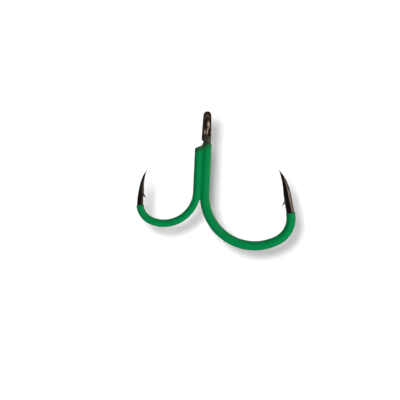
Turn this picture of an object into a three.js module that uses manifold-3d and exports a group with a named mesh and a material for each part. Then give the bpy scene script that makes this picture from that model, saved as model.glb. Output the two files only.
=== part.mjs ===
import * as THREE from 'three';
import { mergeVertices } from 'three/addons/utils/BufferGeometryUtils.js';
import Module from 'manifold-3d';

const wasm = await Module();
wasm.setup();

// A fishing hook of two unequal single hooks brazed back to back, under one coloured coat
// Sizes are millimetres, angles are degrees
// The origin is the middle of the eye's hole, +Z runs up the shanks, +X points at the large hook
// Both hooks lie in the XZ plane, and the eye lies in the YZ plane

// Large hook, a wire that starts as the ring eye and ends as the point
const largeWire = 2.04;
const largeShankX = 0.19;
const largeShankLength = 12.98;
const largeHeelRadius = 13;
const largeHeelTurn = 120.6;
const largeFrontRadius = 6.3;
const largeFrontTurn = 71.8;
const largeLegLength = 6.36;
const largeBeakRadius = 15.3;
const largeBeakTurn = 22.1;
const largeTaperLength = 9;
const largeTaperPower = 1.8;

// Ring eye, bent from the end of the large hook's wire
const eyeHole = 4.12;
const eyeNeckRadius = 1.45;
const eyeSpread = 0.5;
const eyeEndGap = 0.06;
const eyeEndChamfer = 0.1;

// Small hook, brazed on below the eye, with its shank end cut on a bevel
const smallWire = 1.57;
const smallShankX = -1.92;
const smallShankLength = 11.55;
const smallDrop = 1.12;
const smallBevel = 24;
const smallHeelRadius = 8.53;
const smallHeelTurn = 110.7;
const smallFrontRadius = 4.68;
const smallFrontTurn = 72.5;
const smallLegLength = 4.23;
const smallBeakRadius = 10.65;
const smallBeakTurn = 24.6;
const smallTaperLength = 7.2;
const smallTaperPower = 1.34;

// Barbs, each a sliver raised from the inner side of the wire, measured from the point's tip
const largeBarb = {
  tipDistance: 9.95,
  length: 1.6,
  height: 0.9,
  underLength: 0.8,
  notchLength: 1.9,
  notchDepth: 0.16,
  width: 1.2,
};
const smallBarb = {
  tipDistance: 7.7,
  length: 1.3,
  height: 0.65,
  underLength: 0.58,
  notchLength: 1.4,
  notchDepth: 0.12,
  width: 0.9,
};
const barbBowShare = 0.57;
const barbBowHeightShare = 0.62;

// Braze between the shanks, with a hollow fillet on the front and on the back
const brazeFillet = 1.6;
const brazeBite = 0.08;
const brazeRecede = 0.18;
const crotchSpread = 0.26;

// Coat, one film over the shanks, the braze and the bends
const coatThickness = 0.21;
const coatClearance = 0.02;
const coatLip = 0.3;
const coatLipShare = 0.45;
const coatTopDrop = 0.03;
const largeBareLength = 11.9;
const smallBareLength = 9.6;

// Fineness of the surfaces
const largeSides = 24;
const smallSides = 20;
const facetTurn = 6.5;
const taperSteps = 10;
const barbSteps = 8;
const barbSides = 6;
const filletSides = 72;
const closestMarkShare = 0.04;
const crotchSteps = 6;
const crotchSearchShare = 0.7;
const crotchFineness = 1000;
const overrun = 1;

// Sizes that follow
const largeRadius = largeWire / 2;
const smallRadius = smallWire / 2;
const eyeRadius = (eyeHole + largeWire) / 2;
const neckZ = -Math.sqrt(eyeRadius ** 2 + 2 * eyeNeckRadius * eyeRadius);
const bevelSlope = Math.tan(THREE.MathUtils.degToRad(smallBevel));

// An arc about a centre, from one angle to another, in the plane of two unit vectors
class ArcCurve extends THREE.Curve {
  constructor(centre, radius, across, along, from, to) {
    super();
    Object.assign(this, { centre, radius, across, along, from, to });
  }

  getPoint(t, target = new THREE.Vector3()) {
    const angle = THREE.MathUtils.degToRad(THREE.MathUtils.lerp(this.from, this.to, t));
    return target.copy(this.centre)
      .addScaledVector(this.across, this.radius * Math.cos(angle))
      .addScaledVector(this.along, this.radius * Math.sin(angle));
  }

  getPointAt(t, target) {
    return this.getPoint(t, target);
  }

  getLength() {
    return this.radius * THREE.MathUtils.degToRad(Math.abs(this.to - this.from));
  }
}

// The eye's ring, which shifts sideways as it goes round, from its closed end to the neck
class RingCurve extends THREE.Curve {
  constructor(from, to) {
    super();
    Object.assign(this, { from, to });
  }

  getPoint(t, target = new THREE.Vector3()) {
    const angle = THREE.MathUtils.degToRad(THREE.MathUtils.lerp(this.from, this.to, t));
    const shift = eyeSpread * (1 - t);
    return target.set(
      largeShankX - shift,
      eyeRadius * Math.sin(angle),
      -eyeRadius * Math.cos(angle),
    );
  }

  getPointAt(t, target) {
    return this.getPoint(t, target);
  }

  getLength() {
    const arc = eyeRadius * THREE.MathUtils.degToRad(Math.abs(this.to - this.from));
    return Math.hypot(arc, eyeSpread);
  }
}

// Angle at which the ring leaves the neck, from the ring's lowest point
function neckAngle() {
  return THREE.MathUtils.radToDeg(Math.atan2(eyeNeckRadius, -neckZ));
}

// Angle at which the ring's end closes on the neck, by the triangle of the two bend centres
function closingAngle() {
  const outside = eyeRadius + largeRadius;
  const centres = eyeNeckRadius + eyeRadius;
  const reach = eyeNeckRadius + largeRadius + eyeEndGap;
  const cosine = (outside ** 2 + centres ** 2 - reach ** 2) / (2 * outside * centres);
  return 360 - THREE.MathUtils.radToDeg(Math.acos(cosine)) + neckAngle();
}

// The eye's two legs: round the ring, then back through the neck to the shank
function eyeLegs() {
  const centre = new THREE.Vector3(largeShankX, eyeNeckRadius, neckZ);
  const across = new THREE.Vector3(0, -1, 0);
  const along = new THREE.Vector3(0, 0, 1);
  const neckTurn = 90 - neckAngle();
  return [
    { curve: new RingCurve(closingAngle(), neckAngle()), turn: closingAngle() - neckAngle() },
    { curve: new ArcCurve(centre, eyeNeckRadius, across, along, neckTurn, 0), turn: neckTurn },
  ];
}

// Legs that run down a shank and round a bend, with side 1 for a bend to +X and -1 for -X
function hookLegs(start, side, sizes) {
  const legs = [];
  const place = start.clone();
  let heading = -90;
  const outward = new THREE.Vector3(side, 0, 0);
  const up = new THREE.Vector3(0, 0, 1);
  const direction = (angle) => {
    const radians = THREE.MathUtils.degToRad(angle);
    return outward.clone().multiplyScalar(Math.cos(radians)).addScaledVector(up, Math.sin(radians));
  };
  for (const { length, radius, turn } of sizes) {
    if (length) {
      const end = place.clone().addScaledVector(direction(heading), length);
      legs.push({ curve: new THREE.LineCurve3(place.clone(), end), turn: 0 });
      place.copy(end);
    } else {
      const centre = place.clone().addScaledVector(direction(heading + 90), radius);
      const curve = new ArcCurve(centre, radius, outward, up, heading - 90, heading + turn - 90);
      legs.push({ curve, turn });
      place.copy(curve.getPoint(1));
      heading += turn;
    }
  }
  return legs;
}

// A wire's centreline, with the distance along it of each leg's start and end
function centreline(legs) {
  const path = new THREE.CurvePath();
  const stops = [0];
  for (const { curve } of legs) {
    path.add(curve);
    stops.push(stops.at(-1) + curve.getLength());
  }
  return { path, legs, stops, length: stops.at(-1) };
}

// Degrees that a centreline turns between two distances
function turnBetween(line, from, to) {
  let turned = 0;
  line.legs.forEach(({ turn }, i) => {
    const start = line.stops[i];
    const end = line.stops[i + 1];
    const shared = Math.min(end, to) - Math.max(start, from);
    if (shared > 0) {
      turned += turn * shared / (end - start);
    }
  });
  return turned;
}

// Distances for the stations: the first marks are all kept, the others where there is room
function markList(kept, others, unit) {
  const marks = [...kept];
  for (const mark of others) {
    if (marks.every((other) => Math.abs(other - mark) > closestMarkShare * unit)) {
      marks.push(mark);
    }
  }
  return marks.sort((a, b) => a - b);
}

// Divides each stretch between two marks by how far the wire turns on it
function stationDistances(line, marks) {
  const distances = [marks[0]];
  for (let i = 1; i < marks.length; i += 1) {
    const steps = Math.max(1, Math.ceil(turnBetween(line, marks[i - 1], marks[i]) / facetTurn));
    for (let k = 1; k <= steps; k += 1) {
      distances.push(THREE.MathUtils.lerp(marks[i - 1], marks[i], k / steps));
    }
  }
  return distances;
}

// Stations along a wire: place, the two directions across it, and the wire's radius there
function stationsAlong(line, distances, radiusAt) {
  const first = new THREE.Vector3(1, 0, 0);
  const stations = [];
  for (const distance of distances) {
    const t = Math.min(1, distance / line.length);
    const tangent = line.path.getTangent(t);
    first.addScaledVector(tangent, -first.dot(tangent)).normalize();
    stations.push({
      distance,
      point: line.path.getPoint(t),
      tangent,
      first: first.clone(),
      second: new THREE.Vector3().crossVectors(tangent, first),
      radius: radiusAt(distance),
    });
  }
  return stations;
}

// Radius of a wire that comes to a point, by the distance left to the tip
function pointRadius(left, radius, taperLength, power) {
  const share = Math.min(1, left / taperLength);
  return radius * (1 - (1 - share) ** power);
}

function largeLine() {
  const start = new THREE.Vector3(largeShankX, 0, neckZ);
  return centreline([...eyeLegs(), ...hookLegs(start, 1, [
    { length: largeShankLength },
    { radius: largeHeelRadius, turn: largeHeelTurn },
    { radius: largeFrontRadius, turn: largeFrontTurn },
    { length: largeLegLength },
    { radius: largeBeakRadius, turn: largeBeakTurn },
  ])]);
}

function smallLine() {
  const start = new THREE.Vector3(smallShankX, 0, neckZ - smallDrop);
  return centreline(hookLegs(start, -1, [
    { length: smallShankLength },
    { radius: smallHeelRadius, turn: smallHeelTurn },
    { radius: smallFrontRadius, turn: smallFrontTurn },
    { length: smallLegLength },
    { radius: smallBeakRadius, turn: smallBeakTurn },
  ]));
}

// Evenly spaced distances over a point's taper, without the tip itself
function taperMarks(length, taperLength) {
  return Array.from({ length: taperSteps }, (_, k) => length - taperLength * (k + 1) / taperSteps);
}

function largeHookStations(line, coat) {
  const kept = [0, ...coat, line.length];
  const others = [
    eyeEndChamfer,
    ...line.stops,
    ...taperMarks(line.length, largeTaperLength),
  ];
  const radiusAt = (distance) => {
    const chamfer = Math.max(0, eyeEndChamfer - distance);
    const left = line.length - distance;
    return pointRadius(left, largeRadius, largeTaperLength, largeTaperPower) - chamfer;
  };
  const distances = stationDistances(line, markList(kept, others, largeWire));
  return stationsAlong(line, distances, radiusAt);
}

function smallHookStations(line, coat) {
  const kept = [0, ...coat, line.length];
  const others = [...line.stops, ...taperMarks(line.length, smallTaperLength)];
  const radiusAt = (distance) => {
    const left = line.length - distance;
    return pointRadius(left, smallRadius, smallTaperLength, smallTaperPower);
  };
  const distances = stationDistances(line, markList(kept, others, smallWire));
  return stationsAlong(line, distances, radiusAt);
}

// Points of a round section, grown by an offset
function roundRing(station, offset, sides) {
  return Array.from({ length: sides }, (_, k) => {
    const angle = 2 * Math.PI * k / sides;
    const radius = station.radius + offset;
    return station.point.clone()
      .addScaledVector(station.first, radius * Math.cos(angle))
      .addScaledVector(station.second, radius * Math.sin(angle));
  });
}

// A closed skin over a row of rings, with a point to close each end on
function skin(rings, startPoint, endPoint) {
  const count = rings[0].length;
  const points = [...rings.flat(), startPoint, endPoint];
  const startIndex = points.length - 2;
  const endIndex = points.length - 1;
  const lastRow = (rings.length - 1) * count;
  const faces = [];
  for (let k = 0; k < count; k += 1) {
    const next = (k + 1) % count;
    faces.push(startIndex, next, k);
    faces.push(endIndex, lastRow + k, lastRow + next);
    for (let row = 0; row < lastRow; row += count) {
      faces.push(row + k, row + next, row + count + next);
      faces.push(row + k, row + count + next, row + count + k);
    }
  }
  const geometry = new THREE.BufferGeometry().setFromPoints(points);
  geometry.setIndex(faces);
  return geometry;
}

// A closed geometry as a solid that can be joined and cut
function solidOf(geometry) {
  const bare = new THREE.BufferGeometry();
  bare.setAttribute('position', geometry.getAttribute('position'));
  bare.setIndex(geometry.getIndex());
  const merged = mergeVertices(bare);
  return new wasm.Manifold(new wasm.Mesh({
    numProp: 3,
    vertProperties: new Float32Array(merged.getAttribute('position').array),
    triVerts: new Uint32Array(merged.getIndex().array),
  }));
}

function geometryOf(solid) {
  const { vertProperties, triVerts } = solid.getMesh();
  const geometry = new THREE.BufferGeometry();
  geometry.setAttribute('position', new THREE.BufferAttribute(new Float32Array(vertProperties), 3));
  geometry.setIndex(new THREE.BufferAttribute(new Uint32Array(triVerts), 1));
  geometry.computeVertexNormals();
  return geometry;
}

// Rings round a row of stations, each grown by its offset, without one at a sharp tip
function ringsRound(stations, sides, offsetAt) {
  return stations
    .filter(({ radius }) => radius > 0)
    .map((station) => roundRing(station, offsetAt(station), sides));
}

// A length of wire between two stations
function wireSolid(stations, sides, offsetAt) {
  const rings = ringsRound(stations, sides, offsetAt);
  return solidOf(skin(rings, stations[0].point, stations.at(-1).point));
}

// Height of the bevel that the small shank and the braze end on, grown by an offset
function bevelHeight(x, offset) {
  const rise = (x - smallShankX) * bevelSlope;
  return neckZ - smallDrop + rise + offset * Math.hypot(1, bevelSlope);
}

// A length of the small wire, whose first ring lies on the bevel
function bevelledSolid(stations, sides, offsetAt) {
  const rings = ringsRound(stations, sides, offsetAt);
  const offset = offsetAt(stations[0]);
  const top = stations[0].point.clone();
  for (const point of [...rings[0], top]) {
    point.z = bevelHeight(point.x, offset);
  }
  return solidOf(skin(rings, top, stations.at(-1).point));
}

// A frame on the inner surface of a wire: back runs away from the tip, out leaves the wire
function barbFrame(line, side, tipDistance) {
  const t = (line.length - tipDistance) / line.length;
  const tangent = line.path.getTangent(t);
  const back = tangent.clone().negate();
  const out = new THREE.Vector3(0, -side, 0).cross(tangent);
  const across = new THREE.Vector3().crossVectors(out, back);
  return { origin: line.path.getPoint(t), back, out, across };
}

// A point in a barb frame, with the wire's surface at height 0
function onBarb(frame, radius, along, height, sideways) {
  return frame.origin.clone()
    .addScaledVector(frame.back, along)
    .addScaledVector(frame.out, radius + height)
    .addScaledVector(frame.across, sideways);
}

// The barb's profile: its crest from root to tip, and its sole up to the notch and out to the tip
function barbProfile(barb) {
  const root = new THREE.Vector2(-barb.length, -barb.notchDepth);
  const deepRoot = new THREE.Vector2(-barb.length, -2 * barb.notchDepth);
  const notch = new THREE.Vector2(-barb.underLength, -barb.notchDepth);
  const tip = new THREE.Vector2(0, barb.height);
  const bow = new THREE.Vector2(-barb.length * barbBowShare, barb.height * barbBowHeightShare);
  return {
    crest: new THREE.QuadraticBezierCurve(root, bow, tip),
    buried: new THREE.LineCurve(deepRoot, notch),
    free: new THREE.LineCurve(notch, tip),
    buriedShare: 1 - barb.underLength / barb.length,
  };
}

// The barb, a sliver with an arched crest and a flat sole that narrows to a sharp tip
function barbSolid(frame, radius, barb) {
  const { crest, buried, free, buriedShare } = barbProfile(barb);
  const rings = Array.from({ length: barbSteps }, (_, i) => {
    const t = i / barbSteps;
    const top = crest.getPoint(t);
    const isBuried = t < buriedShare;
    const freeShare = (t - buriedShare) / (1 - buriedShare);
    const sole = isBuried ? buried.getPoint(t / buriedShare) : free.getPoint(freeShare);
    const half = barb.width / 2 * (1 - t * t);
    return Array.from({ length: barbSides + 1 }, (_, k) => {
      const angle = Math.PI * k / barbSides;
      const point = sole.clone().lerp(top, Math.sin(angle));
      return onBarb(frame, radius, point.x, point.y, half * Math.cos(angle));
    });
  });
  const start = rings[0][0].clone().lerp(rings[0].at(-1), 1 / 2);
  return solidOf(skin(rings, start, onBarb(frame, radius, 0, barb.height, 0)));
}

// The chisel cut under the barb, a wedge across the wire that runs out at its surface
function notchSolid(frame, radius, barb) {
  const runOut = barb.notchLength - barb.underLength;
  const corners = [
    [-barb.underLength, -barb.notchDepth],
    [runOut, 0],
    [runOut, overrun],
    [-barb.underLength, overrun],
  ];
  const rings = [radius + overrun, -radius - overrun].map((sideways) => (
    corners.map(([along, height]) => onBarb(frame, radius, along, height, sideways))
  ));
  const middles = rings.map((ring) => ring[0].clone().lerp(ring[2], 1 / 2));
  return solidOf(skin(rings, ...middles));
}

// A hook's wire with its barb raised and the notch cut under it
function barbedSolid(wire, line, side, radius, barb) {
  const frame = barbFrame(line, side, barb.tipDistance);
  return wire.subtract(notchSolid(frame, radius, barb)).add(barbSolid(frame, radius, barb));
}

// Where a ball of the fillet's radius rests on both shanks, measured from the small shank
function filletSeat() {
  const spread = largeShankX - smallShankX;
  const toSmall = smallRadius + brazeFillet;
  const toLarge = largeRadius + brazeFillet;
  const x = (toSmall ** 2 - toLarge ** 2 + spread ** 2) / (2 * spread);
  return {
    x: smallShankX + x,
    y: Math.sqrt(toSmall ** 2 - x ** 2) - brazeBite,
    left: smallShankX + x * smallRadius / toSmall,
    right: largeShankX - (spread - x) * largeRadius / toLarge,
  };
}

// X of a wire's centre at a height below the neck and above the bottom of its bend
function centreXAt(stations, z) {
  const i = stations.findIndex(({ point }, k) => (
    k > 0 && stations[k - 1].point.z >= z && point.z < z
  ));
  const above = stations[i - 1].point;
  const below = stations[i].point;
  return THREE.MathUtils.mapLinear(z, above.z, below.z, above.x, below.x);
}

// Height at which the two wires have spread by the crotch's share of their distance
function crotchHeight(largeStations, smallStations) {
  const spreadAt = (z) => centreXAt(largeStations, z) - centreXAt(smallStations, z);
  const wanted = largeShankX - smallShankX + crotchSpread;
  let above = smallStations[0].point.z - smallShankLength;
  let below = above - smallHeelRadius * crotchSearchShare;
  while (above - below > crotchSpread / crotchFineness) {
    const middle = (above + below) / 2;
    if (spreadAt(middle) < wanted) {
      above = middle;
    } else {
      below = middle;
    }
  }
  return above;
}

// Outline of the braze seen from the front: flush with the bevel above, arched at the crotch
function brazeOutline(crotchZ, seat, offset) {
  const topX = largeShankX - largeRadius;
  const bottom = crotchZ - offset;
  const arch = bottom + crotchSpread;
  const shape = new THREE.Shape();
  shape.moveTo(seat.left, bottom);
  shape.quadraticCurveTo(seat.x, arch, seat.right, bottom);
  shape.lineTo(seat.right, bevelHeight(topX, offset));
  shape.lineTo(topX, bevelHeight(topX, offset));
  shape.lineTo(seat.left, bevelHeight(seat.left, offset));
  shape.closePath();
  return shape;
}

// The round tool that leaves one hollow face on the braze, deeper towards the crotch
function filletCutter(crotchZ, seat, offset, side) {
  const radius = brazeFillet - offset;
  const shankEnd = neckZ - smallDrop - smallShankLength;
  const bottom = crotchZ - overrun;
  const top = neckZ + overrun;
  const profile = [
    new THREE.Vector2(0, bottom),
    new THREE.Vector2(radius + brazeRecede, bottom),
    new THREE.Vector2(radius + brazeRecede, crotchZ),
    new THREE.Vector2(radius, shankEnd),
    new THREE.Vector2(radius, top),
    new THREE.Vector2(0, top),
  ];
  const geometry = new THREE.LatheGeometry(profile, filletSides);
  geometry.rotateX(Math.PI / 2);
  geometry.translate(seat.x, side * seat.y, 0);
  return solidOf(geometry);
}

// The braze before the wires are taken out of it, grown by an offset
function brazeBlock(crotchZ, offset) {
  const seat = filletSeat();
  const options = { depth: 2 * seat.y, bevelEnabled: false, curveSegments: crotchSteps };
  const geometry = new THREE.ExtrudeGeometry(brazeOutline(crotchZ, seat, offset), options);
  geometry.rotateX(Math.PI / 2);
  geometry.translate(0, seat.y, 0);
  return solidOf(geometry)
    .subtract(filletCutter(crotchZ, seat, offset, 1))
    .subtract(filletCutter(crotchZ, seat, offset, -1));
}

// The stations that the coat covers, and one more past each open end for its bore
function coveredStations(stations, from, to) {
  const first = stations.findIndex(({ distance }) => distance >= from);
  const last = stations.findLastIndex(({ distance }) => distance <= to);
  return {
    covered: stations.slice(first, last + 1),
    bored: stations.slice(Math.max(0, first - 1), last + 2),
  };
}

// Thickness of the coat, which thins out over a lip at each open end
function coatOffset(distance, from, to) {
  const left = Math.min(distance - from, to - distance);
  return coatThickness * THREE.MathUtils.lerp(coatLipShare, 1, Math.min(1, left / coatLip));
}

// The coat: both wires and the braze grown by its thickness, less the same grown by the clearance
function coatSolid(large, small, crotchZ) {
  const largeCover = coveredStations(large.stations, large.coatFrom, large.coatTo);
  const smallCover = coveredStations(small.stations, 0, small.coatTo);
  const clear = () => coatClearance;
  const largeOffset = ({ distance }) => coatOffset(distance, large.coatFrom, large.coatTo);
  const smallOffset = ({ distance }) => coatOffset(distance, -coatLip, small.coatTo);
  const outside = wireSolid(largeCover.covered, largeSides, largeOffset)
    .add(bevelledSolid(smallCover.covered, smallSides, smallOffset))
    .add(brazeBlock(crotchZ, coatThickness));
  const inside = wireSolid(largeCover.bored, largeSides, clear)
    .add(bevelledSolid(smallCover.bored, smallSides, clear))
    .add(brazeBlock(crotchZ, coatClearance));
  return outside.subtract(inside);
}

// The braze as it sits between the two wires
function brazeSolid(large, small, crotchZ) {
  const clear = () => coatClearance;
  return brazeBlock(crotchZ, 0)
    .subtract(wireSolid(large.stations, largeSides, clear))
    .subtract(bevelledSolid(small.stations, smallSides, clear));
}

function largeWireLayout() {
  const line = largeLine();
  const coatFrom = line.stops[2] + coatTopDrop;
  const coatTo = line.length - largeBareLength;
  const marks = [coatFrom, coatFrom + coatLip, coatTo - coatLip, coatTo];
  return { line, coatFrom, coatTo, stations: largeHookStations(line, marks) };
}

function smallWireLayout() {
  const line = smallLine();
  const coatTo = line.length - smallBareLength;
  return { line, coatTo, stations: smallHookStations(line, [coatTo - coatLip, coatTo]) };
}

// The large hook: its wire with the eye, barbed on the side of the gap
function largeHookSolid({ stations, line }) {
  const wire = wireSolid(stations, largeSides, () => 0);
  return barbedSolid(wire, line, 1, largeRadius, largeBarb);
}

// The small hook: its bevelled wire, barbed on the side of the gap
function smallHookSolid({ stations, line }) {
  const wire = bevelledSolid(stations, smallSides, () => 0);
  return barbedSolid(wire, line, -1, smallRadius, smallBarb);
}

function finish(color, roughness, metalness) {
  return new THREE.MeshStandardMaterial({ color, roughness, metalness });
}

function piece(name, solid, material) {
  const mesh = new THREE.Mesh(geometryOf(solid), material);
  mesh.name = name;
  return mesh;
}

const blackNickel = finish(0x2a221e, 0.25, 1);
const brazeAlloy = finish(0xb9b4a2, 0.4, 1);
const greenCoat = finish(0x008747, 0.45, 0);

const large = largeWireLayout();
const small = smallWireLayout();
const crotchZ = crotchHeight(large.stations, small.stations);

const hook = new THREE.Group();
hook.add(piece('large_hook', largeHookSolid(large), blackNickel));
hook.add(piece('small_hook', smallHookSolid(small), blackNickel.clone()));
hook.add(piece('braze_seam', brazeSolid(large, small, crotchZ), brazeAlloy));
hook.add(piece('coating', coatSolid(large, small, crotchZ), greenCoat));

export default hook;
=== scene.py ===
import math

import bmesh
import bpy
from bpy.props import FloatProperty, FloatVectorProperty, IntProperty, PointerProperty
from mathutils import Matrix, Vector, noise


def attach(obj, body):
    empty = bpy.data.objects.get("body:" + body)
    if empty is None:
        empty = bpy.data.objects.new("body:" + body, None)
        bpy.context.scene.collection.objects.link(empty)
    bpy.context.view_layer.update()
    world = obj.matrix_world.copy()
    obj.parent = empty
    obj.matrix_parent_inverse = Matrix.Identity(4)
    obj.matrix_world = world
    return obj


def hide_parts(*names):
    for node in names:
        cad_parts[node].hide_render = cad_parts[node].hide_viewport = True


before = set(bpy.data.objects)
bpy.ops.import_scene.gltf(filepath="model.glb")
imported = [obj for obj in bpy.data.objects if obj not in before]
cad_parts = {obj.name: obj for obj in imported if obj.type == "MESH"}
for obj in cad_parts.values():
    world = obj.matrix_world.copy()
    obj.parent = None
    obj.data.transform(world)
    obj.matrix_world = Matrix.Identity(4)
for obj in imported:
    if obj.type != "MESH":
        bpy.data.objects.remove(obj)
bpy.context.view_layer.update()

bl_info = {
    "name": "Unequal double fishing hook",
    "version": (1, 0, 0),
    "blender": (4, 5, 0),
    "location": "View3D > Sidebar > Hook",
    "description": "Finished surfaces of a green coated double fishing hook, built round its solids",
    "category": "Add Mesh",
}

# Sizes are metres, in the frame of the solids: the origin is the middle of the eye, Z runs up
# the shanks, and X points at the large hook

X_AXIS = Vector((1, 0, 0))
Y_AXIS = Vector((0, 1, 0))
Z_AXIS = Vector((0, 0, 1))


def size(name, description, default):
    return FloatProperty(name=name, description=description, default=default, unit="LENGTH", precision=6)


def turn(name, description, degrees):
    return FloatProperty(name=name, description=description, default=math.radians(degrees), subtype="ANGLE")


def share(name, description, default):
    return FloatProperty(name=name, description=description, default=default, precision=3)


def count(name, description, default):
    return IntProperty(name=name, description=description, default=default, min=1)


def colour(name, description, default):
    return FloatVectorProperty(name=name, description=description, default=default, subtype="COLOR", size=3)


class EyeSizes(bpy.types.PropertyGroup):
    hole: size("Hole", "Inner diameter of the ring eye", 0.00412)
    neck_radius: size("Neck radius", "Bend that leads from the ring back to the shank", 0.00145)
    spread: size("Spread", "How far the ring shifts sideways as it goes round", 0.0005)
    end_gap: size("End gap", "Gap left where the ring's end closes on the neck", 0.00006)
    end_chamfer: size("End chamfer", "Chamfer of the ring's cut end", 0.0001)


class LargeHookSizes(bpy.types.PropertyGroup):
    wire: size("Wire", "Diameter of the bare wire", 0.00204)
    shank_x: size("Shank place", "Distance of the shank from the eye's middle", 0.00019)
    shank_length: size("Shank", "Straight length below the neck", 0.01298)
    heel_radius: size("Heel radius", "Wide part of the bend", 0.013)
    heel_turn: turn("Heel turn", "How far the wide part turns", 120.6)
    front_radius: size("Front radius", "Tight part of the bend", 0.0063)
    front_turn: turn("Front turn", "How far the tight part turns", 71.8)
    leg_length: size("Leg", "Straight length before the beak", 0.00636)
    beak_radius: size("Beak radius", "Inward curve of the point", 0.0153)
    beak_turn: turn("Beak turn", "How far the point curves inwards", 22.1)
    taper_length: size("Taper", "Length over which the wire comes to a point", 0.009)
    taper_power: share("Taper power", "How full the point is", 1.8)
    barb_distance: size("Barb distance", "From the tip of the point to the tip of the barb", 0.00995)
    barb_length: size("Barb length", "Length of the sliver raised from the wire", 0.0016)
    barb_height: size("Barb height", "Height of the barb's tip over the wire", 0.0009)
    barb_under: size("Barb undercut", "Free length of the barb's sole", 0.0008)
    barb_width: size("Barb width", "Width of the sliver at its root", 0.0012)
    barb_bow: share("Barb bow", "Where along the barb its crest arches most", 0.57)
    barb_arch: share("Barb arch", "How high the crest arches there", 0.62)
    notch_length: size("Notch length", "Length of the chisel cut", 0.0019)
    notch_depth: size("Notch depth", "Depth of the chisel cut", 0.00016)


class SmallHookSizes(bpy.types.PropertyGroup):
    wire: size("Wire", "Diameter of the bare wire", 0.00157)
    shank_x: size("Shank place", "Distance of the shank from the eye's middle", -0.00192)
    shank_length: size("Shank", "Straight length below the bevel", 0.01155)
    drop: size("Drop", "How far the shank ends below the neck", 0.00112)
    bevel: turn("Bevel", "Slope of the cut end of the shank", 24)
    heel_radius: size("Heel radius", "Wide part of the bend", 0.00853)
    heel_turn: turn("Heel turn", "How far the wide part turns", 110.7)
    front_radius: size("Front radius", "Tight part of the bend", 0.00468)
    front_turn: turn("Front turn", "How far the tight part turns", 72.5)
    leg_length: size("Leg", "Straight length before the beak", 0.00423)
    beak_radius: size("Beak radius", "Inward curve of the point", 0.01065)
    beak_turn: turn("Beak turn", "How far the point curves inwards", 24.6)
    taper_length: size("Taper", "Length over which the wire comes to a point", 0.0072)
    taper_power: share("Taper power", "How full the point is", 1.34)
    barb_distance: size("Barb distance", "From the tip of the point to the tip of the barb", 0.0077)
    barb_length: size("Barb length", "Length of the sliver raised from the wire", 0.0013)
    barb_height: size("Barb height", "Height of the barb's tip over the wire", 0.00065)
    barb_under: size("Barb undercut", "Free length of the barb's sole", 0.00058)
    barb_width: size("Barb width", "Width of the sliver at its root", 0.0009)
    barb_bow: share("Barb bow", "Where along the barb its crest arches most", 0.57)
    barb_arch: share("Barb arch", "How high the crest arches there", 0.62)
    notch_length: size("Notch length", "Length of the chisel cut", 0.0014)
    notch_depth: size("Notch depth", "Depth of the chisel cut", 0.00012)


class CoatSizes(bpy.types.PropertyGroup):
    thickness: size("Thickness", "Thickness of the coat", 0.00021)
    film: size("Film wall", "Thickness of the modelled film, which clears the wire", 0.00018)
    lip: size("Lip", "Length over which the coat thins out at an open end", 0.0003)
    lip_share: share("Lip share", "Share of the thickness left at an open end", 0.45)
    top_drop: size("Top drop", "How far the coat starts below the neck", 0.00003)
    large_bare: size("Large bare length", "Bare length of the large point", 0.0119)
    small_bare: size("Small bare length", "Bare length of the small point", 0.0096)
    fillet: size("Fillet", "Radius of the braze's hollow faces", 0.0016)
    bite: size("Bite", "How far the hollow faces sink towards the shanks", 0.00008)
    recede: size("Recede", "How much deeper the hollow is at the crotch", 0.00018)
    crotch_spread: size("Crotch spread", "Spread of the wires where the braze ends", 0.00026)
    wave: size("Wave", "Height of the slow unevenness of the film", 0.000012)
    peel: size("Peel", "Height of the fine unevenness of the film", 0.000004)
    # Along the bevel the coat is darkened as painted shade, which fades below the bevel and runs on a
    # little way over the large shank
    bevel_painted_shade: share("Thin bevel", "How much metal shows through along the bevel", 0.8)
    bevel_fade: size("Bevel fade", "Length over which the coat regains its body below the bevel", 0.002)
    bevel_reach: size("Bevel reach", "How far the thin bevel runs on over the large shank", 0.0012)
    # The thin ends and the top fade darken the coat towards the bare tone: thin film at the open ends, and
    # below the eye thin film with painted shade
    end_thin_and_shade: share("Thin ends", "How much metal shows through at the open ends", 0.6)
    top_fade: size("Top fade", "Length over which the coat regains its body below the eye", 0.0012)


class Finishes(bpy.types.PropertyGroup):
    green: colour("Green", "Colour of the coat", (0.0, 0.213, 0.058))
    nickel: colour("Nickel", "Colour of the black nickel plate", (0.0145, 0.0114, 0.0096))
    # A green tint at the foot of the eye, above the coat's top edge
    foot_green: colour("Dust", "Colour of the dusting of coat above its top edge", (0.03, 0.044, 0.03))
    # The bare tone is the metal under a thin coat, and also the painted shade mixed into the coat below the
    # eye and along the bevel
    bare_metal_and_shade: colour("Bare", "Colour of the metal that shows through a thin coat", (0.02, 0.028, 0.018))
    braze: colour("Braze", "Colour of the braze", (0.55, 0.52, 0.44))


class StageSizes(bpy.types.PropertyGroup):
    lean: turn("Lean", "How far the shanks lean to the right in the photograph", 2.65)
    pixel: size("Pixel", "Real size of one of the photograph's pixels", 0.00026)
    pixels: count("Pixels", "The photograph's width in pixels", 400)
    centre_x: size("Centre X", "Where the photograph's middle lies", -0.000974)
    centre_z: size("Centre Z", "Where the photograph's middle lies", -0.019027)
    lens: FloatProperty(name="Lens", description="Focal length in millimetres", default=200)
    sensor: FloatProperty(name="Sensor", description="Sensor width in millimetres", default=36)
    backdrop_y: size("Backdrop", "Distance of the backdrop behind the shanks", 0.016)
    floor_z: size("Floor", "Height of the floor", -0.1)
    shadow_x: size("Shadow right", "How far the shadow falls to the right", 0.0021)
    shadow_z: size("Shadow down", "How far the shadow falls", 0.0018)


# Wires


def straight_leg(start, direction, length):
    """A straight length of wire, as its length and its place and heading by distance."""
    return length, lambda distance: (start + direction * distance, direction)


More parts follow.
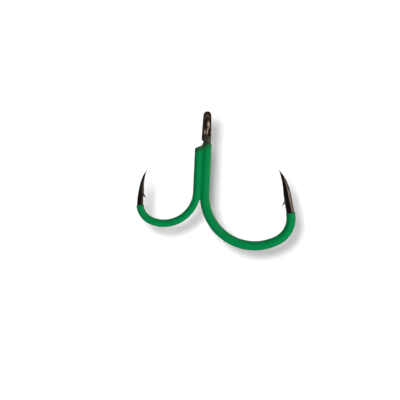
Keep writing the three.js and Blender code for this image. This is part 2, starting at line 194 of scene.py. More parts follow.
def bent_leg(centre, radius, axes, start, angle, slide=Vector()):
    """A bend about a centre, in the plane of two unit vectors, which may slide sideways."""
    across, along = axes
    length = math.hypot(radius * angle, slide.length)

    def place(distance):
        part = distance / length
        now = start + angle * part
        outward = across * math.cos(now) + along * math.sin(now)
        forward = (along * math.cos(now) - across * math.sin(now)) * radius * angle + slide
        return centre + outward * radius + slide * part, forward.normalized()

    return length, place


class Wire:
    """A wire's centreline, made of legs."""

    def __init__(self, legs):
        self.legs = legs
        self.length = sum(length for length, _ in legs)

    def at(self, distance):
        left = distance
        for length, place in self.legs[:-1]:
            if left <= length:
                return place(max(0, left))
            left -= length
        length, place = self.legs[-1]
        return place(min(left, length))


def eye_radius(eye, wire):
    return (eye.hole + wire) / 2


def neck_height(eye, wire):
    radius = eye_radius(eye, wire)
    return -math.sqrt(radius**2 + 2 * eye.neck_radius * radius)


def eye_legs(eye, large):
    """The ring, from its closed end to the neck, and the neck down to the shank."""
    radius = eye_radius(eye, large.wire)
    neck_z = neck_height(eye, large.wire)
    leaves = math.atan2(eye.neck_radius, -neck_z)
    outside = radius + large.wire / 2
    centres = eye.neck_radius + radius
    reach = eye.neck_radius + large.wire / 2 + eye.end_gap
    cosine = (outside**2 + centres**2 - reach**2) / (2 * outside * centres)
    closes = 2 * math.pi - math.acos(cosine) + leaves
    ring_centre = X_AXIS * (large.shank_x - eye.spread)
    neck_centre = Vector((large.shank_x, eye.neck_radius, neck_z))
    neck_turn = math.pi / 2 - leaves
    return [
        bent_leg(ring_centre, radius, (-Z_AXIS, Y_AXIS), closes, leaves - closes, X_AXIS * eye.spread),
        bent_leg(neck_centre, eye.neck_radius, (-Y_AXIS, Z_AXIS), neck_turn, -neck_turn),
    ]


def hook_legs(start, outward, hook):
    """Down the shank and round the bend to the point; outward is X or -X."""
    heading = -math.pi / 2
    place = start.copy()
    legs = []
    bends = (
        (hook.shank_length, 0),
        (hook.heel_radius, hook.heel_turn),
        (hook.front_radius, hook.front_turn),
        (hook.leg_length, 0),
        (hook.beak_radius, hook.beak_turn),
    )
    for length, angle in bends:
        direction = outward * math.cos(heading) + Z_AXIS * math.sin(heading)
        if angle:
            centre = place - outward * math.sin(heading) * length + Z_AXIS * math.cos(heading) * length
            leg = bent_leg(centre, length, (outward, Z_AXIS), heading - math.pi / 2, angle)
        else:
            leg = straight_leg(place, direction, length)
        legs.append(leg)
        place = leg[1](leg[0])[0]
        heading += angle
    return legs


def large_wire(eye, large):
    start = Vector((large.shank_x, 0, neck_height(eye, large.wire)))
    return Wire(eye_legs(eye, large) + hook_legs(start, X_AXIS, large))


def small_wire(eye, large, small):
    start = Vector((small.shank_x, 0, neck_height(eye, large.wire) - small.drop))
    return Wire(hook_legs(start, -X_AXIS, small))


def point_radius(hook, left):
    """Radius of the wire, by the distance left to the tip."""
    part = min(1, left / hook.taper_length)
    return hook.wire / 2 * (1 - (1 - part) ** hook.taper_power)


def spaced(start, end, step):
    """Evenly spaced distances from start to end, no more than a step apart."""
    steps = math.ceil((end - start) / step)
    return [start + (end - start) * i / steps for i in range(steps + 1)]


def sections(wire, distances):
    """Matrices that place a round section at each distance, carried along without twist."""
    across = X_AXIS
    frames = []
    for distance in distances:
        place, forward = wire.at(distance)
        across = (across - forward * across.dot(forward)).normalized()
        turned = Matrix((across, forward.cross(across), forward)).transposed()
        frames.append(Matrix.Translation(place) @ turned.to_4x4())
    return frames


# Meshes


STEP = 0.00025
TIP = 0.000012
CLOSE = 0.0000012
SIDES = 56
SPARE = 0.001
CREST_STEPS = 10
CREST_REACH = 0.99
CREST_ROUNDING = 0.2
CREST_ROWS = 4
METAL_CREASE = math.radians(32)


def loft(bm, frames, radii, sides):
    """Round sections bridged one to the next, closed at both ends."""
    last = len(frames) - 1
    previous = []
    for index, (section, radius) in enumerate(zip(frames, radii)):
        ring = bmesh.ops.create_circle(
            bm, cap_ends=index in (0, last), radius=radius, segments=sides, matrix=section
        )["verts"]
        edges = list({edge for vert in ring for edge in vert.link_edges})
        if previous:
            bmesh.ops.bridge_loops(bm, edges=previous + edges)
        previous = edges


def new_piece(name, bm):
    """A mesh object from a bmesh, with its faces turned outwards."""
    bmesh.ops.recalc_face_normals(bm, faces=bm.faces)
    mesh = bpy.data.meshes.new(name)
    bm.to_mesh(mesh)
    bm.free()
    mesh.shade_smooth()
    piece = bpy.data.objects.new(name, mesh)
    bpy.context.scene.collection.objects.link(piece)
    return piece


def apply_modifiers(piece):
    graph = bpy.context.evaluated_depsgraph_get()
    mesh = bpy.data.meshes.new_from_object(piece.evaluated_get(graph))
    piece.modifiers.clear()
    piece.data = mesh


def cut_or_join(piece, tool, operation):
    """Cuts a tool from a piece or joins it on, and removes the tool."""
    modifier = piece.modifiers.new("shape", "BOOLEAN")
    modifier.operation = operation
    modifier.solver = "EXACT"
    modifier.object = tool
    apply_modifiers(piece)
    bpy.data.objects.remove(tool)


def barb_frame(wire, hook, outward):
    """X runs back from the barb's tip, Y leaves the wire, Z lies across, at the wire's surface."""
    place, forward = wire.at(wire.length - hook.barb_distance)
    out = (-Y_AXIS * outward.x).cross(forward).normalized()
    across = out.cross(-forward)
    turned = Matrix((-forward, out, across)).transposed()
    return Matrix.Translation(place + out * hook.wire / 2) @ turned.to_4x4()


def prism(corners, half_width):
    """An outline in XY, pushed out to both sides along Z."""
    bm = bmesh.new()
    verts = [bm.verts.new((x, y, -half_width)) for x, y in corners]
    face = bm.faces.new(verts)
    side = bmesh.ops.extrude_face_region(bm, geom=[face])["geom"]
    moved = [item for item in side if isinstance(item, bmesh.types.BMVert)]
    bmesh.ops.translate(bm, verts=moved, vec=Z_AXIS * 2 * half_width)
    return bm


def barb_outline(hook):
    """The barb from the side: an arched crest, and a sole that runs back to the notch."""
    bow = Vector((-hook.barb_length * hook.barb_bow, hook.barb_height * hook.barb_arch))
    root = Vector((-hook.barb_length, -hook.notch_depth))
    tip = Vector((0, hook.barb_height))
    crest = []
    for i in range(CREST_STEPS + 1):
        part = i / CREST_STEPS
        crest.append(root * (1 - part) ** 2 + bow * 2 * part * (1 - part) + tip * part**2)
    notch = Vector((-hook.barb_under, -hook.notch_depth))
    deep_root = Vector((-hook.barb_length, -2 * hook.notch_depth))
    return [*crest, notch, deep_root]


def add_barb(piece, wire, hook, outward):
    """Cuts the chisel notch and raises the barb over it."""
    place = barb_frame(wire, hook, outward)
    deep_end = -hook.barb_under
    run_out = deep_end + hook.notch_length
    corners = [(deep_end, -hook.notch_depth), (run_out, 0), (run_out, SPARE), (deep_end, SPARE)]
    notch = prism(corners, hook.wire)
    notch.transform(place)
    cut_or_join(piece, new_piece("notch_tool", notch), "DIFFERENCE")
    barb = prism(barb_outline(hook), hook.barb_width / 2)
    for vert in barb.verts:
        part = (vert.co.x + hook.barb_length) / hook.barb_length
        vert.co.z *= 1 - part**2
    bmesh.ops.remove_doubles(barb, verts=barb.verts, dist=CLOSE)
    crest = [
        edge for edge in barb.edges
        if all(vert.co.y > -hook.notch_depth * CREST_REACH for vert in edge.verts)
        and abs(edge.verts[0].co.x - edge.verts[1].co.x) > CLOSE
    ]
    bmesh.ops.bevel(
        barb, geom=crest, offset=hook.barb_width * CREST_ROUNDING, offset_type="WIDTH",
        segments=CREST_ROWS, profile=0.5, material=-1, affect="EDGES", clamp_overlap=True,
    )
    barb.transform(place)
    cut_or_join(piece, new_piece("barb_tool", barb), "UNION")
    piece.data.shade_smooth()
    piece.data.set_sharp_from_angle(angle=METAL_CREASE)


def finish_piece(piece, node, material):
    piece.data.materials.clear()
    piece.data.materials.append(material)
    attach(piece, "root")
    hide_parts(node)


class BuildLargeHook(bpy.types.Operator):
    """The large hook's wire, from the ring eye to the barbed point"""

    bl_idname = "fishing_hook.large_hook"
    bl_label = "Large hook"

    def execute(self, context):
        eye = context.scene.hook_eye
        large = context.scene.hook_large
        wire = large_wire(eye, large)
        distances = [0, *spaced(eye.end_chamfer, wire.length - TIP, STEP)]
        radii = [point_radius(large, wire.length - distance) for distance in distances]
        radii[0] -= eye.end_chamfer
        bm = bmesh.new()
        loft(bm, sections(wire, distances), radii, SIDES)
        piece = new_piece("large_hook_wire", bm)
        add_barb(piece, wire, large, X_AXIS)
        finish_piece(piece, "large_hook", black_nickel())
        return {"FINISHED"}


class BuildSmallHook(bpy.types.Operator):
    """The small hook's wire, from its bevelled end to the barbed point"""

    bl_idname = "fishing_hook.small_hook"
    bl_label = "Small hook"

    def execute(self, context):
        small = context.scene.hook_small
        wire = small_wire(context.scene.hook_eye, context.scene.hook_large, small)
        distances = spaced(-small.wire, wire.length - TIP, STEP)
        radii = [point_radius(small, wire.length - distance) for distance in distances]
        bm = bmesh.new()
        loft(bm, shank_sections(wire, distances), radii, SIDES)
        cut_bevel(bm, context, 0)
        piece = new_piece("small_hook_wire", bm)
        add_barb(piece, wire, small, -X_AXIS)
        finish_piece(piece, "small_hook", black_nickel())
        return {"FINISHED"}


def shank_sections(wire, distances):
    """Sections that also run on above the shank's start, where the distance is under zero."""
    frames = sections(wire, distances)
    for i, distance in enumerate(distances):
        if distance < 0:
            frames[i] = Matrix.Translation(Z_AXIS * -distance) @ frames[i]
    return frames


def bevel_plane(context):
    """The small shank's cut end: a point in its plane, and the way out of the metal."""
    small = context.scene.hook_small
    neck_z = neck_height(context.scene.hook_eye, context.scene.hook_large.wire)
    normal = Vector((-math.sin(small.bevel), 0, math.cos(small.bevel)))
    return Vector((small.shank_x, 0, neck_z - small.drop)), normal


def cut_bevel(bm, context, offset):
    """Cuts off what stands above the bevel's plane over the small shank, and closes the cuts."""
    small = context.scene.hook_small
    middle, normal = bevel_plane(context)
    column = {vert for vert in bm.verts if abs(vert.co.x - small.shank_x) < 2 * small.wire}
    geometry = [
        *column,
        *(edge for edge in bm.edges if column.issuperset(edge.verts)),
        *(face for face in bm.faces if column.issuperset(face.verts)),
    ]
    cut = bmesh.ops.bisect_plane(
        bm, geom=geometry, plane_co=middle + normal * offset, plane_no=normal, clear_outer=True
    )
    edges = [item for item in cut["geom_cut"] if isinstance(item, bmesh.types.BMEdge)]
    bmesh.ops.holes_fill(bm, edges=edges, sides=0)


# Coat


REMESH_SCALE = 1000
VOXEL = 0.00013
SMOOTHINGS = 5
SMOOTHING = 0.5
GROOVE_STEPS = 14
LIP_ROWS = (1, 0.6, 0.35, 0.15, 0)
WAVE_SIZE = 0.0014
PEEL_SIZE = 0.00045
COAT_CREASE = math.radians(50)


def fillet_seat(context):
    """Where a ball of the fillet's radius rests on both shanks."""
    large, small, coat = context.scene.hook_large, context.scene.hook_small, context.scene.hook_coat
    spread = large.shank_x - small.shank_x
    to_small = small.wire / 2 + coat.fillet
    to_large = large.wire / 2 + coat.fillet
    x = (to_small**2 - to_large**2 + spread**2) / (2 * spread)
    return {
        "x": small.shank_x + x,
        "y": math.sqrt(to_small**2 - x**2) - coat.bite,
        "left": small.shank_x + x * small.wire / 2 / to_small,
        "right": large.shank_x - (spread - x) * large.wire / 2 / to_large,
    }


def crotch_height(context):
    """Height at which the two wires have spread by the crotch's share of their distance."""
    large, small, coat = context.scene.hook_large, context.scene.hook_small, context.scene.hook_coat
    neck_z = neck_height(context.scene.hook_eye, large.wire)
    large_end = neck_z - large.shank_length
    small_end = neck_z - small.drop - small.shank_length

    def spread_at(z):
        large_down = max(0, large_end - z)
        small_down = max(0, small_end - z)
        large_moves = large.heel_radius - math.sqrt(large.heel_radius**2 - large_down**2)
        return large_moves + small.heel_radius - math.sqrt(small.heel_radius**2 - small_down**2)

    above, below = small_end, small_end - small.heel_radius / 2
    while above - below > CLOSE:
        middle = (above + below) / 2
        if spread_at(middle) < coat.crotch_spread:
            above = middle
        else:
            below = middle
    return above


def groove_section(bm, seat, radius, z):
    """The edges of the braze's section, hollow at the front and at the back."""
    step = (seat["right"] - seat["left"]) / GROOVE_STEPS
    front = []
    for i in range(GROOVE_STEPS + 1):
        x = seat["left"] + step * i
        front.append((x, math.sqrt(radius**2 - (x - seat["x"]) ** 2) - seat["y"], z))
    back = [(x, -y, z) for x, y, _ in reversed(front)]
    verts = [bm.verts.new(point) for point in front + back]
    return [bm.edges.new((verts[i - 1], vert)) for i, vert in enumerate(verts)]


def add_groove_fill(bm, context, offset):
    """The filled groove between the shanks, down to the crotch, grown by an offset."""
    coat = context.scene.hook_coat
    seat = fillet_seat(context)
    neck_z = neck_height(context.scene.hook_eye, context.scene.hook_large.wire)
    crotch_z = crotch_height(context)
    shank_end = neck_z - context.scene.hook_small.drop - context.scene.hook_small.shank_length
    radius = coat.fillet - offset
    levels = [(neck_z + SPARE, radius), (shank_end, radius), (crotch_z - offset, radius + coat.recede)]
    rings = [groove_section(bm, seat, level_radius, z) for z, level_radius in levels]
    for upper, lower in zip(rings, rings[1:]):
        bmesh.ops.bridge_loops(bm, edges=upper + lower)
    for ring in (rings[0], rings[-1]):
        bmesh.ops.holes_fill(bm, edges=ring, sides=0)


def remesh(piece):
    """Melts the closed shells of a piece into one even skin."""
    piece.data.transform(Matrix.Scale(REMESH_SCALE, 4))
    modifier = piece.modifiers.new("skin", "REMESH")
    modifier.mode = "VOXEL"
    modifier.voxel_size = VOXEL * REMESH_SCALE
    apply_modifiers(piece)
    piece.data.transform(Matrix.Scale(1 / REMESH_SCALE, 4))


def coat_top(large_line, coat):
    """Distance along the large wire, past its ring and neck, at which the coat starts."""
    return sum(length for length, _ in large_line.legs[:2]) + coat.top_drop


def coat_ends(context):
    """Each open end of the coat: its place, the way out along the wire, and the wire's radius."""
    scene = context.scene
    large, small, coat = scene.hook_large, scene.hook_small, scene.hook_coat
    large_line = large_wire(scene.hook_eye, large)
    small_line = small_wire(scene.hook_eye, large, small)
    top_place, top_forward = large_line.at(coat_top(large_line, coat))
    large_end = large_line.at(large_line.length - coat.large_bare)
    small_end = small_line.at(small_line.length - coat.small_bare)
    return [
        (top_place, -top_forward, large.wire / 2),
        (*large_end, large.wire / 2),
        (*small_end, small.wire / 2),
    ]


def near(items, place, reach):
    return [item for item in items if (item.co - place).length < reach]


def open_end(bm, place, outward, radius, coat):
    """Cuts the coat off square at one end and thins its lip."""
    reach = 2 * (radius + coat.thickness)
    verts = set(near(bm.verts, place, reach))
    edges = [edge for edge in bm.edges if all(vert in verts for vert in edge.verts)]
    faces = [face for face in bm.faces if all(vert in verts for vert in face.verts)]
    for row in LIP_ROWS:
        geometry = [*verts, *edges, *faces]
        cut = bmesh.ops.bisect_plane(
            bm, geom=geometry, plane_co=place - outward * coat.lip * row, plane_no=outward,
            clear_outer=row == 0,
        )
        verts = {item for item in cut["geom"] if isinstance(item, bmesh.types.BMVert)}
        edges = [item for item in cut["geom"] if isinstance(item, bmesh.types.BMEdge)]
        faces = [item for item in cut["geom"] if isinstance(item, bmesh.types.BMFace)]
    for vert in near(bm.verts, place, reach):
        depth = (place - vert.co).dot(outward)
        axis_point = place - outward * depth
        distance = (vert.co - axis_point).length
        if 0 <= depth < coat.lip and distance < radius + 2 * coat.thickness:
            rounded = math.sqrt(1 - (1 - depth / coat.lip) ** 2)
            kept = coat.lip_share + (1 - coat.lip_share) * rounded
            wanted = radius + (distance - radius) * kept
            vert.co = axis_point + (vert.co - axis_point) * wanted / distance


def roughen(bm, coat):
    """Gives the film its slow waves and its fine unevenness."""
    bm.normal_update()
    for vert in bm.verts:
        slow = noise.noise(vert.co / WAVE_SIZE)
        fine = noise.noise(vert.co / PEEL_SIZE + X_AXIS)
        vert.co += vert.normal * (slow * coat.wave + fine * coat.peel)


def faded(depth, length):
    """One at no depth, falling softly to zero at a length."""
    part = min(1, max(0, depth / length))
    return 1 - part * part * (3 - 2 * part)


def mark_thin_film_and_shade(piece, context):
    """Marks where the coat darkens towards the bare tone: thin film at the open ends, thin film with
    painted shade below the eye, and painted shade along the bevel.
    """
    coat = context.scene.hook_coat
    middle, normal = bevel_plane(context)
    bevel_top = middle + normal * coat.thickness
    ends = coat_ends(context)
    values = []
    for vert in piece.data.vertices:
        # Painted shade along the bevel's top edge and a little way over the large shank
        below = faded((bevel_top - vert.co).dot(normal), coat.bevel_fade)
        thin_film_and_shade = coat.bevel_painted_shade * below * faded(vert.co.x, coat.bevel_reach)
        # Thin film at the open ends; below the eye the longer fade is thin film with painted shade
        for index, (place, outward, radius) in enumerate(ends):
            depth = (place - vert.co).dot(outward)
            off_axis = (vert.co - place + outward * depth).length
            if off_axis < 2 * radius and depth < coat.top_fade:
                length = coat.lip if index else coat.top_fade
                thin_film_and_shade = max(thin_film_and_shade, coat.end_thin_and_shade * faded(depth, length))
        values.append(thin_film_and_shade)
    piece.data.attributes.new("thin_film_and_shade", "FLOAT", "POINT").data.foreach_set("value", values)


class BuildCoat(bpy.types.Operator):
    """The green coat, one film over both shanks, the braze and both bends"""

    bl_idname = "fishing_hook.coat"
    bl_label = "Green coat"

    def execute(self, context):
        scene = context.scene
        large, small, coat = scene.hook_large, scene.hook_small, scene.hook_coat
        large_line = large_wire(scene.hook_eye, large)
        small_line = small_wire(scene.hook_eye, large, small)
        top = coat_top(large_line, coat)
        large_spans = spaced(top - coat.lip, large_line.length - coat.large_bare + coat.lip, STEP)
        small_spans = spaced(-small.wire, small_line.length - coat.small_bare + coat.lip, STEP)
        bm = bmesh.new()
        small_radius = small.wire / 2 + coat.thickness
        loft(bm, shank_sections(small_line, small_spans), [small_radius] * len(small_spans), SIDES)
        add_groove_fill(bm, context, coat.thickness)
        bmesh.ops.recalc_face_normals(bm, faces=bm.faces)
        cut_bevel(bm, context, coat.thickness)
        large_radius = large.wire / 2 + coat.thickness
        loft(bm, sections(large_line, large_spans), [large_radius] * len(large_spans), SIDES)
        piece = new_piece("coat_film", bm)
        remesh(piece)
        bm = bmesh.new()
        bm.from_mesh(piece.data)
        for _ in range(SMOOTHINGS):
            bmesh.ops.smooth_vert(
                bm, verts=bm.verts, factor=SMOOTHING, use_axis_x=True, use_axis_y=True, use_axis_z=True
            )
        roughen(bm, coat)
        for place, outward, radius in coat_ends(context):
            open_end(bm, place, outward, radius, coat)
        bm.to_mesh(piece.data)
        bm.free()
        wall = piece.modifiers.new("wall", "SOLIDIFY")
        wall.thickness = coat.film
        wall.offset = -1
        wall.use_rim = True
        apply_modifiers(piece)
        piece.data.shade_smooth()
        piece.data.set_sharp_from_angle(angle=COAT_CREASE)
        mark_thin_film_and_shade(piece, context)
        finish_piece(piece, "coating", green_coat())
        return {"FINISHED"}


class FinishBraze(bpy.types.Operator):
    """The finish of the braze between the shanks"""

    bl_idname = "fishing_hook.braze"
    bl_label = "Braze seam"

    def execute(self, context):
        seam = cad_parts["braze_seam"]
        seam.data.materials.clear()
        seam.data.materials.append(braze_alloy())
        return {"FINISHED"}


# Finishes


def new_material(name):
    material = bpy.data.materials.new(name)
    material.use_nodes = True
    material.node_tree.nodes.clear()
    return material


def node(tree, kind, inputs=None, **settings):
    """Adds a shader node, with its settings and with a value or a link on each named input."""
    made = tree.nodes.new("ShaderNode" + kind)
    for name, value in settings.items():
        setattr(made, name, value)
    for name, value in (inputs or {}).items():
        if isinstance(value, bpy.types.NodeSocket):
            tree.links.new(value, made.inputs[name])
        else:
            made.inputs[name].default_value = value
    return made


def clouds(tree, place, scale, detail=3):
    return node(tree, "TexNoise", {"Vector": place, "Scale": scale, "Detail": detail}).outputs["Fac"]


def ramp(tree, value, low, high, to_low, to_high):
    inputs = {"Value": value, "From Min": low, "From Max": high, "To Min": to_low, "To Max": to_high}
    return node(tree, "MapRange", inputs).outputs["Result"]


def mixed(tree, factor, first, second):
    made = node(tree, "Mix", data_type="RGBA")
    sockets = {"Factor": factor, "A": first, "B": second}
    for name, value in sockets.items():
        socket = next(s for s in made.inputs if s.name == name and s.enabled)
        if isinstance(value, bpy.types.NodeSocket):
            tree.links.new(value, socket)
        else:
            socket.default_value = value
    return next(s for s in made.outputs if s.enabled)


def combined(tree, operation, first, second):
    return node(tree, "Math", {0: first, 1: second}, operation=operation).outputs["Value"]


def opaque(values, scale=1.0):
    return (*(value * scale for value in values), 1)


# Heights between which the plate's look changes

POINTS_TOP = -0.008
EYE_FOOT = -0.006
GREEN_FULL = -0.0046
GREEN_END = -0.0022

# Noises, in lumps to the metre

PLATE_CLOUDS = 600
PLATE_GRAIN = 9000
COAT_CLOUDS = 260
COAT_POWDER = 5200
BRAZE_RIPPLES = 1500

# Painted shade: the points' plate is made darker than the eye's, standing in for the darker reflections the
# points show
POINT_PAINTED_SHADE = 0.52
POINT_ROUGHNESS = 0.11


def black_nickel():
    """Bright black nickel plate, cloudy, tinted green at the foot of the eye, smoother at the points, and
    darker there as painted shade.
    """
    finishes = bpy.context.scene.hook_finishes
    material = new_material("black nickel")
    tree = material.node_tree
    place = node(tree, "TexCoord").outputs["Object"]
    height = node(tree, "SeparateXYZ", {"Vector": place}).outputs["Z"]
    cloud = clouds(tree, place, PLATE_CLOUDS)
    grain = clouds(tree, place, PLATE_GRAIN, 2)
    clouded = mixed(tree, cloud, opaque(finishes.nickel, 0.75), opaque(finishes.nickel, 1.3))
    eye_only = ramp(tree, height, POINTS_TOP, EYE_FOOT, 0, 1)
    # Painted shade darkens the plate at the points
    tone = mixed(tree, eye_only, opaque(finishes.nickel, POINT_PAINTED_SHADE), clouded)
    # Green tint at the foot of the eye, where the plate is also less metallic and rougher
    fall = ramp(tree, height, GREEN_FULL, GREEN_END, 1, 0)
    reach = combined(tree, "MULTIPLY", fall, eye_only)
    green_mask = ramp(tree, grain, 0.3, 0.6, 0.2, 1)
    foot_green = combined(tree, "MULTIPLY", reach, green_mask)
    green_tinted = mixed(tree, foot_green, tone, opaque(finishes.foot_green))
    metal = ramp(tree, foot_green, 0, 0.6, 1, 0)
    eye_gloss = ramp(tree, cloud, 0.3, 0.7, 0.17, 0.25)
    plate_gloss = ramp(tree, eye_only, 0, 1, POINT_ROUGHNESS, eye_gloss)
    gloss = ramp(tree, foot_green, 0, 0.5, plate_gloss, 0.8)
    bump = node(tree, "Bump", {"Height": grain, "Strength": 0.25, "Distance": 0.000004})
    # The specular tint darkens the plate's reflections towards its rims, a painted shade on the edges
    shader = node(tree, "BsdfPrincipled", {
        "Base Color": green_tinted,
        "Metallic": metal,
        "Roughness": gloss,
        "Specular IOR Level": 0.03,
        "Specular Tint": (0.28, 0.26, 0.24, 1),
        "Normal": bump.outputs["Normal"],
    })
    node(tree, "OutputMaterial", {"Surface": shader.outputs["BSDF"]})
    return material


def green_coat():
    """Satin powder coat, slightly uneven in colour and gloss."""
    finishes = bpy.context.scene.hook_finishes
    material = new_material("green coat")
    tree = material.node_tree
    place = node(tree, "TexCoord").outputs["Object"]
    slow = clouds(tree, place, COAT_CLOUDS)
    powder = clouds(tree, place, COAT_POWDER, 2)
    tone = mixed(tree, slow, opaque(finishes.green, 0.9), opaque(finishes.green, 1.1))
    speck = ramp(tree, powder, 0.35, 0.65, 0, 0.12)
    flecked = mixed(tree, speck, tone, opaque(finishes.green, 0.6))
    # Darkened towards the bare tone where the film is thin, and where shade is painted below the eye and
    # along the bevel
    thin_film_and_shade = node(tree, "Attribute", attribute_name="thin_film_and_shade").outputs["Fac"]
    coloured = mixed(tree, thin_film_and_shade, flecked, opaque(finishes.bare_metal_and_shade))
    gloss = ramp(tree, slow, 0.3, 0.7, 0.5, 0.62)
    bump = node(tree, "Bump", {"Height": powder, "Strength": 0.35, "Distance": 0.000012})
    shader = node(tree, "BsdfPrincipled", {
        "Base Color": coloured,
        "Roughness": gloss,
        "Specular IOR Level": 0.008,
        "Normal": bump.outputs["Normal"],
    })
    node(tree, "OutputMaterial", {"Surface": shader.outputs["BSDF"]})
    return material


def braze_alloy():
    """Dull silver braze with a rippled surface."""
    finishes = bpy.context.scene.hook_finishes
    material = new_material("braze alloy")
    tree = material.node_tree
    place = node(tree, "TexCoord").outputs["Object"]
    ripple = clouds(tree, place, BRAZE_RIPPLES)
    tone = mixed(tree, ripple, opaque(finishes.braze, 0.7), opaque(finishes.braze))
    bump = node(tree, "Bump", {"Height": ripple, "Strength": 0.4, "Distance": 0.00002})
    shader = node(tree, "BsdfPrincipled", {
        "Base Color": tone,
        "Metallic": 1,
        "Roughness": 0.42,
        "Normal": bump.outputs["Normal"],
    })
    node(tree, "OutputMaterial", {"Surface": shader.outputs["BSDF"]})
    return material


# Stage


PAPER_HALF_WIDTH = 0.6
PAPER_HEIGHT = 0.5
PAPER_REACH = 0.9
COVE_RADIUS = 0.012
COVE_STEPS = 12
GLOW_UPRIGHT = 0.03
GLOW_FLAT = 0.6


def white_paper():
    """White paper that only the camera sees from the front, so light and other views pass it."""
    material = new_material("white paper")
    tree = material.node_tree
    path = node(tree, "LightPath")
    geometry = node(tree, "NewGeometry")
    upward = node(tree, "SeparateXYZ", {"Vector": geometry.outputs["Normal"]}).outputs["Z"]
    front = combined(tree, "SUBTRACT", 1, geometry.outputs["Backfacing"])
    shown = combined(tree, "MULTIPLY", front, path.outputs["Is Camera Ray"])
    lift = ramp(tree, upward, 0, 1, GLOW_UPRIGHT, GLOW_FLAT)
    paper = node(tree, "BsdfDiffuse", {"Color": (1, 1, 1, 1)})
    glow = node(tree, "Emission", {"Strength": lift})
    lit = node(tree, "AddShader", {0: paper.outputs["BSDF"], 1: glow.outputs["Emission"]})
    clear = node(tree, "BsdfTransparent")
    surface = node(tree, "MixShader", {0: shown, 1: clear.outputs["BSDF"], 2: lit.outputs["Shader"]})
    node(tree, "OutputMaterial", {"Surface": surface.outputs["Shader"]})
    return material


def build_backdrop(stage):
    """A sweep of paper: up behind the hook, round a cove, and out over the floor."""
    bm = bmesh.new()
    first = bm.verts.new((-PAPER_HALF_WIDTH, stage.backdrop_y, PAPER_HEIGHT))
    second = bm.verts.new((PAPER_HALF_WIDTH, stage.backdrop_y, PAPER_HEIGHT))
    edge = bm.edges.new((first, second))
    cove_z = stage.floor_z + COVE_RADIUS

    def pull(edges, offset):
        moved = bmesh.ops.extrude_edge_only(bm, edges=edges)["geom"]
        verts = [item for item in moved if isinstance(item, bmesh.types.BMVert)]
        bmesh.ops.translate(bm, verts=verts, vec=offset)
        return [item for item in moved if isinstance(item, bmesh.types.BMEdge)]

    edges = pull([edge], Z_AXIS * (cove_z - PAPER_HEIGHT))
    turned = bmesh.ops.spin(
        bm, geom=edges, cent=(0, stage.backdrop_y - COVE_RADIUS, cove_z), axis=X_AXIS,
        angle=-math.pi / 2, steps=COVE_STEPS,
    )["geom_last"]
    pull([item for item in turned if isinstance(item, bmesh.types.BMEdge)], -Y_AXIS * PAPER_REACH)
    mesh = bpy.data.meshes.new("backdrop")
    for face in bm.faces:
        face.normal_update()
        if face.normal.dot(Z_AXIS - Y_AXIS) < 0:
            face.normal_flip()
    bm.to_mesh(mesh)
    bm.free()
    mesh.shade_smooth()
    mesh.materials.append(white_paper())
    backdrop = bpy.data.objects.new("backdrop", mesh)
    bpy.context.scene.collection.objects.link(backdrop)
    return backdrop


LAMP_TARGET = Vector((0.003, 0, -0.012))
KEY_DISTANCE = 1.0
BOX_DISTANCE = 0.5
BOX_TINT = (1, 0.93, 0.87)
FILL_FROM = (0.6, -0.62, -0.5)
FILL_STRENGTH = 0.9
SHADOW_KEY_SIZES = (0.2, 0.2)
SHADOW_KEY_WATTS = 7.8
HOOK_KEY_FROM = Vector((0.28, -1, -0.32))
HOOK_KEY_SIZES = (0.3, 0.3)
HOOK_KEY_WATTS = 7.4
BACK_KEY_FROM = Vector((0.25, 1, 0.1))
BACK_KEY_SIZES = (0.5, 0.5)
BACK_KEY_WATTS = 4.0

# Each soft box has its azimuth and elevation as the hooks see it, its width and height, all in
# degrees, and its radiance

SOFT_BOXES = (
    ("right_high", (47, 20), (24, 26), 50),
    ("right_low", (45, -28), (24, 40), 36),
    ("right_edge", (84, 6), (14, 26), 70),
    ("left_low", (-42, -32), (20, 28), 38),
    ("top", (180, 60), (110, 70), 7),
    ("back_right", (130, 10), (30, 60), 14),
    ("back_left", (-135, 5), (24, 50), 8),
)


def add_lamp(name, direction, sizes, power, distance=KEY_DISTANCE):
    """A lamp that faces the hooks and lights them, but isn't seen in reflections."""
    data = bpy.data.lights.new(name, "AREA")
    data.shape = "RECTANGLE"
    data.size, data.size_y = sizes
    data.energy = power
    lamp = bpy.data.objects.new(name, data)
    bpy.context.scene.collection.objects.link(lamp)
    lamp.location = LAMP_TARGET + direction.normalized() * distance
    lamp.rotation_mode = "QUATERNION"
    lamp.rotation_quaternion = direction.to_track_quat("Z", "Y")
    lamp.visible_camera = False
    lamp.visible_glossy = False
    lamp.visible_transmission = False
    return lamp


def light_only(lamp, receivers):
    """Lets a lamp light the given objects and nothing else."""
    group = bpy.data.collections.new(lamp.name + " receivers")
    for receiver in receivers:
        group.objects.link(receiver)
    lamp.light_linking.receiver_collection = group


def add_soft_box(name, bearing, span, radiance):
    """A soft box that only shows in reflections, placed and sized by angle as the hooks see it."""
    azimuth, elevation = (math.radians(angle) for angle in bearing)
    sizes = [2 * BOX_DISTANCE * math.tan(math.radians(angle) / 2) for angle in span]
    level = math.cos(elevation)
    direction = Vector((math.sin(azimuth) * level, -math.cos(azimuth) * level, math.sin(elevation)))
    power = radiance * math.pi * sizes[0] * sizes[1]
    lamp = add_lamp(name, direction, sizes, power, BOX_DISTANCE)
    lamp.data.color = BOX_TINT
    lamp.visible_diffuse = False
    lamp.visible_glossy = True
    lamp.visible_transmission = True


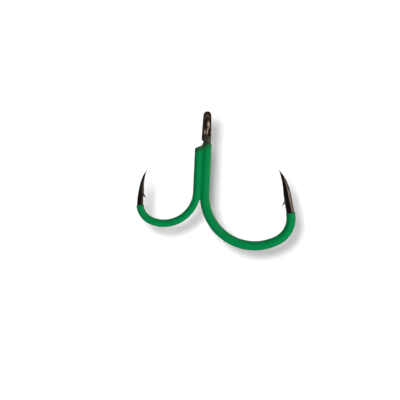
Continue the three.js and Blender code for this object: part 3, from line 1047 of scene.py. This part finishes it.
def light_world():
    """White for the camera and in reflections, and a soft fill that is stronger from the lower right."""
    world = bpy.data.worlds.new("studio")
    world.use_nodes = True
    tree = world.node_tree
    tree.nodes.clear()
    direction = node(tree, "TexCoord").outputs["Generated"]
    slope = node(tree, "VectorMath", {0: direction, 1: FILL_FROM}, operation="DOT_PRODUCT").outputs["Value"]
    fill = node(tree, "Background", {"Strength": ramp(tree, slope, 0, 1, 0, FILL_STRENGTH)})
    white = node(tree, "Background", {"Color": (1, 1, 1, 1), "Strength": 1})
    path = node(tree, "LightPath")
    seen = combined(tree, "MAXIMUM", path.outputs["Is Camera Ray"], path.outputs["Is Glossy Ray"])
    seen = combined(tree, "MAXIMUM", seen, path.outputs["Is Transmission Ray"])
    surface = node(tree, "MixShader", {
        0: seen, 1: fill.outputs["Background"], 2: white.outputs["Background"],
    })
    node(tree, "OutputWorld", {"Surface": surface.outputs["Shader"]})
    bpy.context.scene.world = world


def add_camera(stage):
    """A long lens square to the hooks, turned so that the shanks lean as in the photograph."""
    data = bpy.data.cameras.new("camera")
    data.lens = stage.lens
    data.sensor_width = stage.sensor
    camera = bpy.data.objects.new("camera", data)
    bpy.context.scene.collection.objects.link(camera)
    distance = stage.pixel * stage.pixels * stage.lens / stage.sensor
    up = Vector((-math.sin(stage.lean), 0, math.cos(stage.lean)))
    turned = Matrix((up.cross(-Y_AXIS), up, -Y_AXIS)).transposed()
    place = Matrix.Translation((stage.centre_x, -distance, stage.centre_z))
    camera.matrix_world = place @ turned.to_4x4()
    bpy.context.scene.camera = camera


class BuildStage(bpy.types.Operator):
    """Backdrop, floor, lamps, world and camera"""

    bl_idname = "fishing_hook.stage"
    bl_label = "Stage"

    def execute(self, context):
        stage = context.scene.hook_stage
        hooks = [thing for thing in context.scene.objects if thing.type == "MESH"]
        backdrop = build_backdrop(stage)
        light_world()
        add_camera(stage)
        shadow_from = Vector((-stage.shadow_x, -stage.backdrop_y, stage.shadow_z))
        shadow_key = add_lamp("shadow_key", shadow_from, SHADOW_KEY_SIZES, SHADOW_KEY_WATTS)
        hook_key = add_lamp("hook_key", HOOK_KEY_FROM, HOOK_KEY_SIZES, HOOK_KEY_WATTS)
        add_lamp("back_key", BACK_KEY_FROM, BACK_KEY_SIZES, BACK_KEY_WATTS)
        light_only(shadow_key, [backdrop])
        light_only(hook_key, hooks)
        for name, bearing, span, radiance in SOFT_BOXES:
            add_soft_box(name, bearing, span, radiance)
        return {"FINISHED"}


# Add-on


class HookPanel(bpy.types.Panel):
    """Buttons that build the hook piece by piece"""

    bl_idname = "VIEW3D_PT_fishing_hook"
    bl_label = "Fishing hook"
    bl_space_type = "VIEW_3D"
    bl_region_type = "UI"
    bl_category = "Hook"

    def draw(self, context):
        for operator in OPERATORS:
            self.layout.operator(operator.bl_idname)
        for name in SETTINGS:
            group = getattr(context.scene, name)
            box = self.layout.box()
            for field in group.__annotations__:
                box.prop(group, field)


OPERATORS = (BuildLargeHook, BuildSmallHook, FinishBraze, BuildCoat, BuildStage)
SETTINGS = {
    "hook_eye": EyeSizes,
    "hook_large": LargeHookSizes,
    "hook_small": SmallHookSizes,
    "hook_coat": CoatSizes,
    "hook_finishes": Finishes,
    "hook_stage": StageSizes,
}


def register():
    for group in SETTINGS.values():
        bpy.utils.register_class(group)
    for operator in (*OPERATORS, HookPanel):
        bpy.utils.register_class(operator)
    for name, group in SETTINGS.items():
        setattr(bpy.types.Scene, name, PointerProperty(type=group))


def unregister():
    for name in SETTINGS:
        delattr(bpy.types.Scene, name)
    for operator in (HookPanel, *reversed(OPERATORS)):
        bpy.utils.unregister_class(operator)
    for group in reversed(list(SETTINGS.values())):
        bpy.utils.unregister_class(group)


def main():
    register()
    bpy.context.scene.view_settings.view_transform = "Standard"
    bpy.ops.fishing_hook.large_hook()
    bpy.ops.fishing_hook.small_hook()
    bpy.ops.fishing_hook.braze()
    bpy.ops.fishing_hook.coat()
    bpy.ops.fishing_hook.stage()


if __name__ == "__main__":
    main()
